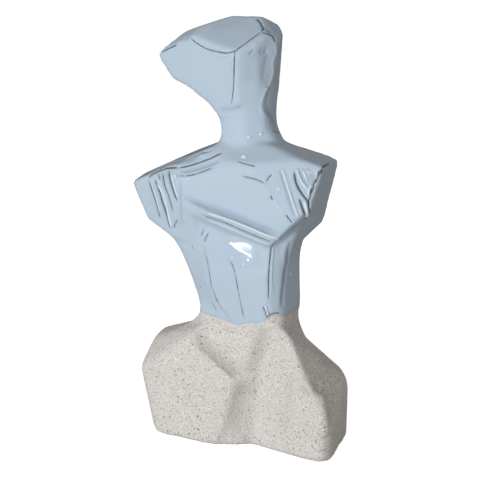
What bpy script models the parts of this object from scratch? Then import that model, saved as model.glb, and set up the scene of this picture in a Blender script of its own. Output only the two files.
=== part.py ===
"""Abstract standing torso, slip-cast in one piece: glazed to the waist, bare stoneware below.

The figure is built as a potter would block it out of clay. Each mass starts as a block that
is shaved by flat cuts, the waist and the neck are lofted between them, everything is luted
into one body, and the tool strokes are drawn into the surface last.
The front faces -Y, +X is the viewer's right, and the flat foot stands on Z = 0.
"""
import math

import bmesh
import bpy
from mathutils import Vector
from mathutils.bvhtree import BVHTree

# Driving dimensions, in metres.
HEIGHT = 0.42
STROKE_WIDTH = 0.0036
STROKE_DEPTH = 0.0018
FOLD_THICKNESS = 0.0100
FOLD_RELIEF = 0.0045
FOLD_SINK = 0.0005
HIP_SOFTNESS = 0.0070

# The figure's pose and proportions are drawn on a grid of its own, 420 steps high.
GRID_STEPS = 420
GRID = HEIGHT / GRID_STEPS

# Points closer together than this are one point.
SAME_PLACE = GRID * 0.01

# Heights on the grid where the masses meet.
GLAZE_LINE = 127
CHEST_BOTTOM = 200
JAW = 331

GLAZE_COLOUR = (0.50, 0.62, 0.75, 1.0)
STONE_COLOUR = (0.66, 0.63, 0.59, 1.0)


def grid(across, depth, up):
    """A point given in grid steps, as metres."""
    return Vector((across, depth, up)) * GRID


def facing(turn, lean):
    """Outward direction of a flat cut: turned from the front towards +X, leaning up."""
    turn, lean = math.radians(turn), math.radians(lean)
    return Vector((math.sin(turn) * math.cos(lean), -math.cos(turn) * math.cos(lean), math.sin(lean)))


def cut(point, turn, lean):
    """A flat cut through one point."""
    return grid(*point), facing(turn, lean)


def cut_along(start, end, turn):
    """A flat cut along the edge from start to end; its lean follows from the edge."""
    edge = Vector(end) - Vector(start)
    turned = math.radians(turn)
    level = math.sin(turned) * edge.x - math.cos(turned) * edge.y
    return cut(start, turn, math.degrees(math.atan(-level / edge.z)))


def as_object(name, mesh_builder):
    """Put a finished bmesh into the scene as an object."""
    bmesh.ops.triangulate(mesh_builder, faces=mesh_builder.faces)
    bmesh.ops.recalc_face_normals(mesh_builder, faces=mesh_builder.faces)
    mesh = bpy.data.meshes.new(name)
    mesh_builder.to_mesh(mesh)
    mesh_builder.free()
    piece = bpy.data.objects.new(name, mesh)
    bpy.context.scene.collection.objects.link(piece)
    return piece


def soften(block, width, segments):
    """Round every clear edge of a shaved block, after its slivers are closed up."""
    bmesh.ops.remove_doubles(block, verts=block.verts, dist=width * 0.8)
    bmesh.ops.dissolve_limit(block, angle_limit=math.radians(1), verts=block.verts, edges=block.edges)
    clear = [edge for edge in block.edges if edge.calc_face_angle(0) > math.radians(8)]
    bmesh.ops.bevel(block, geom=clear, offset=width, offset_type='OFFSET', segments=segments,
                    profile=0.5, affect='EDGES', clamp_overlap=True)


def apply_cuts(block, cuts):
    """Take off what lies outside each flat cut, and close the block again."""
    for point, normal in cuts:
        geometry = block.verts[:] + block.edges[:] + block.faces[:]
        sliced = bmesh.ops.bisect_plane(block, geom=geometry, dist=SAME_PLACE, plane_co=point,
                                        plane_no=normal, clear_outer=True)
        rim = [item for item in sliced["geom_cut"] if isinstance(item, bmesh.types.BMEdge)]
        bmesh.ops.contextual_create(block, geom=rim)


def shaved_block(name, low, high, cuts, softness=0.0, segments=1):
    """A block between two grid corners, shaved by flat cuts and then softened."""
    block = bmesh.new()
    bmesh.ops.create_cube(block, size=1)
    low, high = grid(*low), grid(*high)
    for vertex in block.verts:
        vertex.co = Vector(l + (h - l) * (c + 0.5) for l, h, c in zip(low, high, vertex.co))
    apply_cuts(block, cuts)
    if softness:
        soften(block, softness, segments)
    return as_object(name, block)


def smooth_between(stations, height):
    """Value at a height on the smooth curve through (height, value) stations."""
    if height <= stations[0][0]:
        return stations[0][1]
    if height >= stations[-1][0]:
        return stations[-1][1]
    index = max(i for i, station in enumerate(stations) if station[0] <= height)
    index = min(index, len(stations) - 2)
    slopes = []
    for i in (index, index + 1):
        before, after = stations[max(i - 1, 0)], stations[min(i + 1, len(stations) - 1)]
        slopes.append((after[1] - before[1]) / (after[0] - before[0]))
    (h0, v0), (h1, v1) = stations[index], stations[index + 1]
    step = h1 - h0
    t = (height - h0) / step
    return ((2 * t**3 - 3 * t**2 + 1) * v0 + (t**3 - 2 * t**2 + t) * step * slopes[0]
            + (-2 * t**3 + 3 * t**2) * v1 + (t**3 - t**2) * step * slopes[1])


def lofted(name, rings):
    """Skin a stack of closed rings that all have the same number of points."""
    skin = bmesh.new()
    rows = [[skin.verts.new(point) for point in ring] for ring in rings]
    count = len(rows[0])
    for lower, upper in zip(rows, rows[1:]):
        for i in range(count):
            j = (i + 1) % count
            skin.faces.new((lower[i], lower[j], upper[j], upper[i]))
    skin.faces.new(rows[0][::-1])
    skin.faces.new(rows[-1])
    return as_object(name, skin)


# Hips: two thigh masses and the belly between them, cut off flat below.
HIP_TOP = 124
FOOT_ALLOWANCE = 24
LEFT_THIGH = [
    cut((-30, -46, 20), -6, 2),
    cut_along((-93, -33, 0), (-106, -33, 56), -52),
    cut_along((-96, 0, 0), (-109, 0, 58), -94),
    cut_along((-110, -30, 66), (-100, -28, 97), -80),
    cut((-83, -43, 77), -38, 38),
    cut((-76, -10, 105), -75, 66),
    cut_along((-49, -43, 109), (6, -44, 71), 30),
    cut_along((6, -44, 71), (-12, -46, 11), 52),
    cut((-100, 38, 60), -140, 5),
    cut((-6, 40, 20), 177, 2),
    cut((-6, 40, 60), 177, 36),
]
RIGHT_THIGH = [
    cut_along((50, -37, 10), (68, -40, 78), -14),
    cut((68, -40, 78), -9, 1),
    cut((98, -42, 10), 60, 0),
    cut((101, -22, 10), 100, -3),
    cut_along((64, -42, 107), (93, -43, 54), 86),
    cut((55, 38, 97), 110, 45),
    cut((90, 36, 20), 140, 4),
    cut((-6, 40, 20), -177, 2),
    cut((-6, 40, 60), -177, 32),
]
BELLY = [
    cut((0, -32.3, 127), 0, 4.5),
    cut((-12, -32.3, 127), -20, 25),
    cut_along((-41, -28, 131), (-60, -30, 108), -58),
    cut_along((28, -34, 127), (17, -37, 74), 48),
    cut_along((17, -37, 74), (-5, -41, 0), 28),
]


def hips():
    """The two thighs and the belly, as blocks that run into each other."""
    low = -FOOT_ALLOWANCE
    return [
        shaved_block("left_thigh", (-112, -52, low), (24, 46, HIP_TOP), LEFT_THIGH, HIP_SOFTNESS, 2),
        shaved_block("right_thigh", (-30, -52, low), (104, 46, HIP_TOP + 2), RIGHT_THIGH, HIP_SOFTNESS, 2),
        shaved_block("belly", (-48, -46, low - 2), (40, 20, HIP_TOP + 14), BELLY, HIP_SOFTNESS / 2, 1),
    ]


# Waist: a stack of eight-cornered rings that flares into the hips and up to the arms.
WAIST_LEFT = [(104, -80), (111, -66), (117, -56), (124, -50), (134, -48.5), (152, -54.5), (170, -62),
              (188, -71), (200, -80), (216, -88)]
WAIST_FRONT_LEFT = [(104, -20), (130, -12), (146, -21), (161, -28), (189, -35), (216, -44)]
WAIST_RIDGE = [(104, 44), (118, 40), (130, 35), (150, 34), (186, 33.5), (210, 38), (220, 42)]
WAIST_RIGHT = [(104, 58), (116, 51), (124, 47), (134, 45), (160, 44), (186, 45), (204, 51), (222, 58)]
WAIST_BACK_RIGHT = [(104, 50), (118, 44), (130, 44), (142, 46), (160, 46), (186, 46), (204, 50), (222, 60)]
WAIST_FRONT = [(70, -14), (104, -31), (130, -32.5), (160, -34.5), (182, -34), (200, -31.2), (222, -27)]
WAIST_BACK = [(70, 33), (104, 30), (130, 26.5), (160, 24), (190, 22.5), (222, 17)]
WAIST_RINGS = 18
FLARE_LIMIT = -66


def waist_ring(up):
    """The eight corners of the waist at one height, counted from the left round the front."""
    left = smooth_between(WAIST_LEFT, up)
    front_left = smooth_between(WAIST_FRONT_LEFT, up)
    ridge = smooth_between(WAIST_RIDGE, up)
    right = smooth_between(WAIST_RIGHT, up)
    back_right = smooth_between(WAIST_BACK_RIGHT, up)
    front = smooth_between(WAIST_FRONT, up)
    back = smooth_between(WAIST_BACK, up)
    corners = [
        (max(left + 2, FLARE_LIMIT), back - 16), (left, -18), (front_left, front), (ridge, front),
        (right, front + 11), (back_right + 1, back - 9), (back_right - 8, back),
        (max(left, FLARE_LIMIT) + 16, back),
    ]
    return [grid(across, depth, up) for across, depth in corners]


def waist():
    """The waist, from inside the hips to behind the fold."""
    low, high = WAIST_BACK[0][0], WAIST_BACK[-1][0]
    heights = [low + (high - low) * i / (WAIST_RINGS - 1) for i in range(WAIST_RINGS)]
    return lofted("waist", [waist_ring(up) for up in heights])


# Chest: a flat front over the fold, and a stub cut off short on each side.
CHEST_BACK = 20
UNDER_FOLD = ((-50, -38, 233), (35, -38, 207.5), -17.4)
UNDER_FOLD_BACK = -29.5
CHEST = [
    cut((0, -38, 250), 0, 0),
    cut((0, -37, 285), 0, 50),
    cut((0, CHEST_BACK, 285), 180, 28),
    cut((-17, -31, 291), -11.5, 33),
    cut((-96, 15, 270), -75.4, 64.6),
    cut_along((-96, -38, 261), (-83, -38, 216), -24),
    cut_along((-119, -24, 256), (-105, -22, 218), -80),
    cut_along((-105, -22, 216.5), (-84, -24, 205.5), -80),
    cut((-60, -38, 243), -12, -16),
    cut((-110, 16, 250), -168, 2),
    cut((45, -38, 250), 8, 6.8),
    cut((86, -32, 286), 92, 74.6),
    cut_along((87, -30, 284), (76, -30, 244), 92),
    cut_along((76, -30, 244), (53, -30, 221), 75),
    cut((80, 17, 270), 172, 2),
]


def chest():
    """The chest with its two stubs, hollowed a little under the line of the fold."""
    block = shaved_block("chest", (-130, -44, CHEST_BOTTOM), (95, CHEST_BACK, 301), CHEST)
    point, normal = cut_along(*UNDER_FOLD)
    taper = cut((-52, -38, 222), -140, 0)
    under = shaved_block("under_fold", (-54, -60, CHEST_BOTTOM - 9), (70, UNDER_FOLD_BACK, 250),
                         [(point, -normal), taper])
    return combined(block, [under], 'DIFFERENCE')


# The face: two flat cuts that meet the crown and run on down the neck's front corners.
FACE_RIDGE = (-1, -35, 389)
BEAK_TIP = (-102, -4, 380)
FACE_CUTS = [cut(FACE_RIDGE, -17, -7), cut(FACE_RIDGE, 33, -6)]
BEAK_BACK = cut(BEAK_TIP, -155, 6)
NECK_CUTS = FACE_CUTS + [BEAK_BACK]

# Neck: a squarish column that flares into the shoulders and up under the head.
NECK_LEFT = [(278, -60), (286, -45), (295, -32), (305, -27), (316, -27), (324, -29.5), (330, -34.5),
             (336, -40.5), (342, -49.5), (348, -61), (354, -68)]
NECK_RIGHT = [(278, 56), (286, 46), (296, 33.5), (306, 27), (316, 22), (330, 21), (342, 21.5), (354, 23)]
NECK_FRONT = [(278, -40), (286, -33), (294, -26.5), (304, -23), (318, -22.5), (330, -24), (354, -26)]
NECK_BACK = [(278, 17), (290, 18.5), (304, 20), (320, 21), (336, 23), (354, 26)]
NECK_RINGS = 17
NECK_SIDES = 20
NECK_SQUARENESS = 6.0
NECK_INSET = 0.0004


def shave(piece, cuts):
    """Shave a finished piece by more flat cuts."""
    skin = bmesh.new()
    skin.from_mesh(piece.data)
    apply_cuts(skin, cuts)
    bmesh.ops.triangulate(skin, faces=skin.faces)
    skin.to_mesh(piece.data)
    skin.free()


def rounded_square(angle, squareness):
    """Point at an angle on a circle that is squared off, one step in radius."""
    across, depth = math.cos(angle), math.sin(angle)
    reach = (abs(across) ** squareness + abs(depth) ** squareness) ** (-1 / squareness)
    return across * reach, depth * reach


def held_inside(point, cuts, inset):
    """The point, pushed back behind each flat cut that it would stand out of."""
    for origin, normal in cuts:
        out = (point - origin).dot(normal) + inset
        if out > 0:
            point = point - normal * out
    return point


def neck():
    """The neck, lofted from inside the shoulders to inside the head."""
    low, high = NECK_LEFT[0][0], NECK_LEFT[-1][0]
    rings = []
    for i in range(NECK_RINGS):
        up = low + (high - low) * i / (NECK_RINGS - 1)
        left, right = smooth_between(NECK_LEFT, up), smooth_between(NECK_RIGHT, up)
        front, back = smooth_between(NECK_FRONT, up), smooth_between(NECK_BACK, up)
        middle, half = (left + right) / 2, (right - left) / 2
        centre, reach = (front + back) / 2, (back - front) / 2
        ring = []
        for side in range(NECK_SIDES):
            across, depth = rounded_square(math.tau * (side + 0.5) / NECK_SIDES, NECK_SQUARENESS)
            point = grid(middle + half * across, centre + reach * depth, up)
            ring.append(held_inside(point, NECK_CUTS, NECK_INSET))
        rings.append(ring)
    return lofted("neck", rings)


# Head: a faceted block drawn out to a point on the left.
HEAD = FACE_CUTS + [
    BEAK_BACK,
    cut((15, -24, 380), 60, -4),
    cut((29, -8, 386), 101, -8),
    cut((22, 15, 347), 100, -50),
    cut((28, -8, 398), 84, 22),
    cut((18, -8, 410), 78, 50),
    cut(FACE_RIDGE, 0, 52),
    cut(BEAK_TIP, -47, 50),
    cut((-46, -5, 411), -80, 71),
    cut(BEAK_TIP, -95, -38),
    cut((-82, -5, 356), -90, -73),
    cut((0, 28, 372), 180, 8),
    cut((0, 6, 420), 180, 52),
    cut((22, 20, 370), 138, 4),
    cut((20, -24, 338), 20, -62),
    cut((0, -28, 333), 0, -42),
]


def head():
    """The head, from the jaw up."""
    return shaved_block("head", (-104, -40, JAW - 8), (36, 32, 420), HEAD)


def swept(name, centres, outline_at):
    """Sweep an outline along a row of points; outline_at gives (down the path, out) offsets."""
    skin = bmesh.new()
    rows = []
    for i, centre in enumerate(centres):
        along = (centres[min(i + 1, len(centres) - 1)] - centres[max(i - 1, 0)]).normalized()
        outward = Vector((0, -1, 0))
        sideways = along.cross(outward).normalized()
        rows.append([skin.verts.new(centre + sideways * side + outward * out)
                     for side, out in outline_at(i / (len(centres) - 1))])
    count = len(rows[0])
    for first, second in zip(rows, rows[1:]):
        for i in range(count):
            j = (i + 1) % count
            skin.faces.new((first[i], first[j], second[j], second[i]))
    skin.faces.new(rows[0][::-1])
    skin.faces.new(rows[-1])
    return as_object(name, skin)


def resampled(corners, spacing):
    """Points a step apart along a smooth curve through (across, up) corners, on the grid."""
    lengths = [0.0]
    for first, second in zip(corners, corners[1:]):
        lengths.append(lengths[-1] + math.dist(first, second))
    across = [(length, corner[0]) for length, corner in zip(lengths, corners)]
    up = [(length, corner[1]) for length, corner in zip(lengths, corners)]
    count = max(3, round(lengths[-1] / spacing) + 1)
    places = [lengths[-1] * i / (count - 1) for i in range(count)]
    return [(smooth_between(across, place), smooth_between(up, place)) for place in places]


def laid_on(surface, path, back=False):
    """Drop a path of (across, up) grid points onto the front or the back of the body."""
    side = 1 if back else -1
    laid = []
    for across, up in path:
        start = grid(across, side * 200, up)
        hit = surface.ray_cast(start, Vector((0, -side, 0)))[0]
        if hit is not None:
            laid.append(hit)
    return laid


# Tool strokes, as (across, up) corners on the grid and a share of the usual width and depth.
LEFT_STUB_STROKES = [
    ([(-87, 256), (-81, 236), (-75, 217)], 1.3),
    ([(-79, 262), (-75, 247), (-69, 226)], 0.8),
    ([(-72, 271), (-70, 258), (-65, 240)], 1.0),
    ([(-62, 224), (-67, 213)], 0.7),
]
RIGHT_STUB_STROKES = [
    ([(54, 280), (60, 262), (68, 240)], 1.0),
    ([(61, 279), (66, 264), (75, 249)], 1.2),
    ([(69, 281), (74, 269), (78, 262)], 1.0),
    ([(66, 254), (72, 240)], 0.8),
    ([(54, 241), (61, 232)], 0.7),
]
CHEST_STROKES = [
    ([(7, 272), (20, 271), (31, 267)], 0.6),
    ([(36, 274), (32, 266)], 0.6),
    ([(-12, 290), (0, 290), (12, 287)], 0.5),
]
WAIST_STROKES = [
    ([(-34, 190), (-30, 172), (-26, 155), (-18, 142), (-9, 130)], 0.8),
    ([(-8, 191), (-2, 176), (3, 157), (10, 129)], 0.8),
    ([(-30, 143), (-22, 134)], 0.7),
]
FOLD_GROOVE = [(-40, 230), (-22, 228.5), (-8, 222), (12, 217), (36, 208)]
FOLD_PATH = [(-50, 243), (-38, 238), (-20, 232), (0, 226), (24, 219.5), (47, 213)]
THIGH_GROOVE = [(66, 84), (58, 58), (50, 16)]
SPINE_GROOVE = [(2, 284), (-3, 240), (-2, 190), (2, 150), (4, 110), (2, 70)]


def grooves(surface):
    """Cutters for every stroke, each a shallow V that runs out at both ends."""
    drawn = [(path, share, share) for path, share in
             LEFT_STUB_STROKES + RIGHT_STUB_STROKES + CHEST_STROKES + WAIST_STROKES]
    drawn += [(FOLD_GROOVE, 1.2, 1.2), (THIGH_GROOVE, 3.2, 0.9)]
    cutters = []
    for number, (path, wide, deep) in enumerate(drawn):
        cutters.append(groove(f"groove_{number}", laid_on(surface, resampled(path, 8)), wide, deep))
    spine = laid_on(surface, resampled(SPINE_GROOVE, 14), back=True)
    cutters.append(groove("spine_groove", spine, 4.5, 2.2, back=True))
    return cutters


def groove(name, centres, wide, deep, back=False):
    """A V-shaped cutter along the surface; wide and deep are shares of the stroke's size."""
    lift = STROKE_DEPTH
    side = -1 if back else 1

    def outline(share):
        swell = 0.25 + 0.75 * math.sin(math.pi * min(max(share, 0.0), 1.0)) ** 0.6
        depth = STROKE_DEPTH * deep * swell
        half = STROKE_WIDTH * wide * swell / 2
        reach = half * (1 + lift / depth)
        return [(-reach, side * lift), (0.0, -side * depth), (reach, side * lift)]

    return swept(name, centres, outline)


def fold(surface):
    """The rolled fold under the chest, thinning out at both ends."""
    sides = 8

    def outline(share):
        swell = math.sin(math.pi * (0.06 + 0.88 * share)) ** 0.5
        rise = FOLD_THICKNESS / 2 * swell
        out = FOLD_RELIEF * swell
        return [(rise * math.cos(math.tau * i / sides), out * math.sin(math.tau * i / sides) - FOLD_SINK)
                for i in range(sides)]

    return swept("fold", laid_on(surface, resampled(FOLD_PATH, 8)), outline)


def combined(body, others, operation):
    """Join or carve with each of the other objects in turn, and drop them."""
    for other in others:
        step = body.modifiers.new(other.name, 'BOOLEAN')
        step.operation = operation
        step.solver = 'EXACT'
        step.object = other
        evaluated = body.evaluated_get(bpy.context.evaluated_depsgraph_get())
        body.data = bpy.data.meshes.new_from_object(evaluated)
        body.modifiers.clear()
        bpy.data.objects.remove(other)
    return body


def surface_of(body):
    """A tree of the body's faces, to lay strokes on."""
    faces = bmesh.new()
    faces.from_mesh(body.data)
    tree = BVHTree.FromBMesh(faces)
    faces.free()
    return tree


def settle(body):
    """Tidy the mesh and centre it over its foot."""
    skin = bmesh.new()
    skin.from_mesh(body.data)
    bmesh.ops.remove_doubles(skin, verts=skin.verts, dist=SAME_PLACE)
    bmesh.ops.dissolve_degenerate(skin, edges=skin.edges, dist=SAME_PLACE)
    bmesh.ops.triangulate(skin, faces=skin.faces)
    across = [vertex.co.x for vertex in skin.verts]
    depth = [vertex.co.y for vertex in skin.verts]
    middle = Vector(((min(across) + max(across)) / 2, (min(depth) + max(depth)) / 2, 0))
    bmesh.ops.translate(skin, verts=skin.verts, vec=-middle)
    skin.to_mesh(body.data)
    skin.free()


def ceramic(name, colour, roughness):
    """A plain Principled material."""
    material = bpy.data.materials.new(name)
    material.use_nodes = True
    shader = material.node_tree.nodes["Principled BSDF"]
    shader.inputs["Base Color"].default_value = colour
    shader.inputs["Roughness"].default_value = roughness
    shader.inputs["Metallic"].default_value = 0.0
    return material


def finish(body):
    """Glaze above the waist, bare stoneware below it."""
    body.data.materials.clear()
    body.data.materials.append(ceramic("pale_blue_glaze", GLAZE_COLOUR, 0.15))
    body.data.materials.append(ceramic("bare_stoneware", STONE_COLOUR, 0.85))
    for face in body.data.polygons:
        face.material_index = 0 if face.center.z > GLAZE_LINE * GRID else 1


def build():
    """The whole figure, as one object."""
    for leftover in list(bpy.data.objects):
        bpy.data.objects.remove(leftover)
    body = waist()
    body.name = "torso_figure"
    body = combined(body, [chest(), neck(), head()] + hips(), 'UNION')
    shave(body, [cut((0, 0, 0), 0, -90)])
    body = combined(body, [fold(surface_of(body))], 'UNION')
    body = combined(body, grooves(surface_of(body)), 'DIFFERENCE')
    settle(body)
    finish(body)
    return body


build()
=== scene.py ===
# %% [markdown]
# An abstract standing torso in stoneware, about 42 cm tall. It is one casting: the upper body is
# glazed a pale steel blue that breaks to grey-brown on every cut edge, and the hips are left as
# bare, speckled, matte clay. The frame holds its true solid, built from flat cuts. This lesson
# turns that solid into clay: it softens it, draws the tool strokes, lays the glaze over it, and
# then lights and frames it as a studio photograph.

# %% Load the frame
import math

import bmesh
import bpy
import numpy as np
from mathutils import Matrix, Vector
from mathutils.bvhtree import BVHTree
from mathutils.kdtree import KDTree


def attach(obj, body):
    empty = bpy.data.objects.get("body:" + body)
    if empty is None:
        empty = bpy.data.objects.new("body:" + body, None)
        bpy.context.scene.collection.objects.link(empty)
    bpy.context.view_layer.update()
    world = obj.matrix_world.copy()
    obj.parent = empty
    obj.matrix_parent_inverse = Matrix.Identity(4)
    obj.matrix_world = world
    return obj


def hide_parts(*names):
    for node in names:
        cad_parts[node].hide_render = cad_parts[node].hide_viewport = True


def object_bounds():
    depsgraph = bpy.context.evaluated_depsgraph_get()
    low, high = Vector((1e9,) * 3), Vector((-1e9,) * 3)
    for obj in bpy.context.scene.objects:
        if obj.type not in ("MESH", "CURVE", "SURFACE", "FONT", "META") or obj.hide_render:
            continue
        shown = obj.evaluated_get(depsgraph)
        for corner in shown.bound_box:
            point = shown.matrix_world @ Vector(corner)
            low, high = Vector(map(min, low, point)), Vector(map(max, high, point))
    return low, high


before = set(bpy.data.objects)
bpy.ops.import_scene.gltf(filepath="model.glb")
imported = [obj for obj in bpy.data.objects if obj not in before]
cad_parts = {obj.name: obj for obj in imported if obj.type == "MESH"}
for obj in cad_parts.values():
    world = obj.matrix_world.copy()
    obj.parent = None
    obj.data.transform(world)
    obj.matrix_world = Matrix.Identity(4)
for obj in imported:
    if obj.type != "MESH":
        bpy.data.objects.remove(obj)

CAD_BOX = [list(corner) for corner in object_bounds()]
NODE = "torso_figure"
HEIGHT = CAD_BOX[1][2] - CAD_BOX[0][2]
MM = HEIGHT / 420
print("solid box in mm:", [[round(value / MM, 1) for value in corner] for corner in CAD_BOX])

# %% [markdown]
# The camera comes first, because the fine strokes are drawn through it. A real maker's stroke is
# a line on a curved surface, and the photograph shows where each one runs. So a stroke is given
# as a few points in the picture, and a ray through each point lands it on the clay. The stroke
# then sits on the surface and holds from every side. The picture is 480 pixels square.

# %% The camera at the photograph's angle
PICTURE = 480
SENSOR = 36.0
FOCAL_PIXELS = 1523.0
TURN, RISE, DISTANCE = math.radians(26.0), math.radians(13.3), 1.50
AIM_HEIGHT = 201.2 * MM
AIM_LEFT = 11.0 * MM
DRAWN_MIDDLE = Vector((-11.0, -1.3, 0)) * MM

to_right = Vector((math.cos(TURN), math.sin(TURN), 0))
to_camera = Vector((math.sin(TURN) * math.cos(RISE), -math.cos(TURN) * math.cos(RISE), math.sin(RISE)))
to_top = to_camera.cross(to_right)
aim = Vector((0, 0, AIM_HEIGHT)) - to_right * AIM_LEFT - DRAWN_MIDDLE
eye = aim + to_camera * DISTANCE

camera = bpy.data.objects.new("camera", bpy.data.cameras.new("camera"))
bpy.context.scene.collection.objects.link(camera)
camera.location = eye
camera.rotation_euler = to_camera.to_track_quat('Z', 'Y').to_euler()
camera.data.sensor_width = SENSOR
camera.data.lens = SENSOR * FOCAL_PIXELS / PICTURE
bpy.context.scene.camera = camera
print("camera stands at", [round(value, 3) for value in eye])


def ray_through(pixel):
    """Direction from the camera through a point of the picture."""
    across, down = (pixel[0] - PICTURE / 2) / FOCAL_PIXELS, (pixel[1] - PICTURE / 2) / FOCAL_PIXELS
    return (to_right * across - to_top * down - to_camera).normalized()


# %% [markdown]
# The solid is made of large flat faces, too few to bend. A voxel remesh gives it an even skin of
# small quads that knows nothing of the old faces, which is what smoothing and carving need.
# A step a little over two millimetres keeps the piece under 200,000 triangles at the end, because
# the bands beside the strokes are refined later.

# %% Helpers for objects and their meshes
def linked(name, mesh):
    """A new object in the scene around a mesh."""
    piece = bpy.data.objects.new(name, mesh)
    bpy.context.scene.collection.objects.link(piece)
    return piece


def applied(piece):
    """Turn a piece's modifiers into plain mesh."""
    evaluated = piece.evaluated_get(bpy.context.evaluated_depsgraph_get())
    mesh = bpy.data.meshes.new_from_object(evaluated)
    piece.modifiers.clear()
    piece.data = mesh


def tree_of(mesh):
    """A search tree of the mesh's faces."""
    shape = bmesh.new()
    shape.from_mesh(mesh)
    tree = BVHTree.FromBMesh(shape)
    shape.free()
    return tree


print("the solid has", len(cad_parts[NODE].data.polygons), "flat faces")

# %% An even skin over the solid
SKIN_STEP = 2.25 * MM

merged = bmesh.new()
merged.from_mesh(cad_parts[NODE].data)
bmesh.ops.remove_doubles(merged, verts=merged.verts, dist=0.01 * MM)
solid_mesh = bpy.data.meshes.new("solid")
merged.to_mesh(solid_mesh)
torso = linked("glazed_torso", solid_mesh)
remesh = torso.modifiers.new("even skin", 'REMESH')
remesh.mode = 'VOXEL'
remesh.voxel_size = SKIN_STEP
applied(torso)
print("even skin:", len(torso.data.vertices), "points")

# %% [markdown]
# Clay is never as crisp as a plane cut through a block. The bare hips were sponged round, the
# neck was smoothed by hand into the shoulders, and the cuts above the waist stayed fairly sharp
# under the glaze. Blurring the positions of the skin's points rounds its edges, and a weight on
# each point says how much. Geometry Nodes do this as one rule for the whole figure: a light
# blur, a strong one by weight, and a slow undulation that keeps the planes from looking ruled.
# One place on the belly stays calm, with more blur and less undulation, because the glaze mirrors
# a window there.

# %% How soft each zone is
SOFT_BELOW, SOFT_FADE = 122 * MM, 12 * MM
FOOT_BAND, FOOT_SHARE = 9 * MM, 0.35
WAIST_HIGH = 200 * MM
NECK_LOW, NECK_HIGH, NECK_FADE = 290 * MM, 338 * MM, 7 * MM
SHARP_CUTS, SOFT_WAIST, SOFT_NECK, SOFT_HIPS = 0.03, 0.34, 0.26, 0.30
CALM_MIDDLE = (244, 246)
CALM_REACH = 24 * MM
CALM_SOFTNESS, CALM_CORE = 0.60, 20 * MM
print("soft below", round(SOFT_BELOW / MM), "mm, and at the neck from", round(NECK_LOW / MM), "to",
      round(NECK_HIGH / MM), "mm")


# %% Read and write the skin's points
def eased(values, low, high):
    """Smooth step from 0 at low to 1 at high."""
    share = np.clip((values - low) / (high - low), 0, 1)
    return share * share * (3 - 2 * share)


def points_of(mesh):
    """The mesh's points as an array."""
    points = np.empty(len(mesh.vertices) * 3)
    mesh.vertices.foreach_get("co", points)
    return points.reshape(-1, 3)


def set_points(mesh, points):
    """Write the points back."""
    mesh.vertices.foreach_set("co", points.ravel())
    mesh.update()


def set_value(mesh, name, values):
    """Store one number for each point under a name."""
    layer = mesh.attributes.get(name) or mesh.attributes.new(name, 'FLOAT', 'POINT')
    layer.data.foreach_set("value", np.asarray(values, dtype=np.float32))


start = points_of(torso.data)
print("the skin stands", round((start[:, 2].max() - start[:, 2].min()) / MM, 1), "mm tall")

# %% Store the softness on the skin
height = start[:, 2]
hips = 1 - eased(height, SOFT_BELOW - SOFT_FADE, SOFT_BELOW + SOFT_FADE)
waist = 1 - eased(height, WAIST_HIGH - SOFT_FADE, WAIST_HIGH)
foot = FOOT_SHARE + (1 - FOOT_SHARE) * eased(height, 0, FOOT_BAND)
neck = eased(height, NECK_LOW - NECK_FADE, NECK_LOW + NECK_FADE) * (
    1 - eased(height, NECK_HIGH - NECK_FADE, NECK_HIGH + NECK_FADE))
softness = np.maximum(SHARP_CUTS, np.maximum(SOFT_WAIST * waist, SOFT_NECK * neck))
softness = np.maximum(softness, SOFT_HIPS * hips) * np.where(hips > 0, foot, 1)
calm_place = np.array(tree_of(torso.data).ray_cast(eye, ray_through(CALM_MIDDLE))[0])
from_calm = np.linalg.norm(start - calm_place, axis=1)
softness = np.maximum(softness, CALM_SOFTNESS * np.exp(-(from_calm / CALM_CORE) ** 4))
set_value(torso.data, "softness", softness)
set_value(torso.data, "unrest", 1 - np.exp(-(from_calm / CALM_REACH) ** 2))
print("softness from", round(softness.min(), 2), "to", round(softness.max(), 2))

# %% Geometry Nodes: the worked clay
LIGHT_PASSES, LIGHT_WEIGHT = 2, 0.35
STRONG_PASSES = 10
UNDULATION, UNDULATION_LENGTH = 0.8 * MM, 34 * MM


def wired(tree, pairs):
    """Link sockets, given as (output, input) pairs."""
    for source, target in pairs:
        tree.links.new(source, target)


def number_input(tree, name, value, kind='NodeSocketFloat'):
    """A named number on a tree's outside."""
    tree.interface.new_socket(name, in_out='INPUT', socket_type=kind).default_value = value


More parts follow.
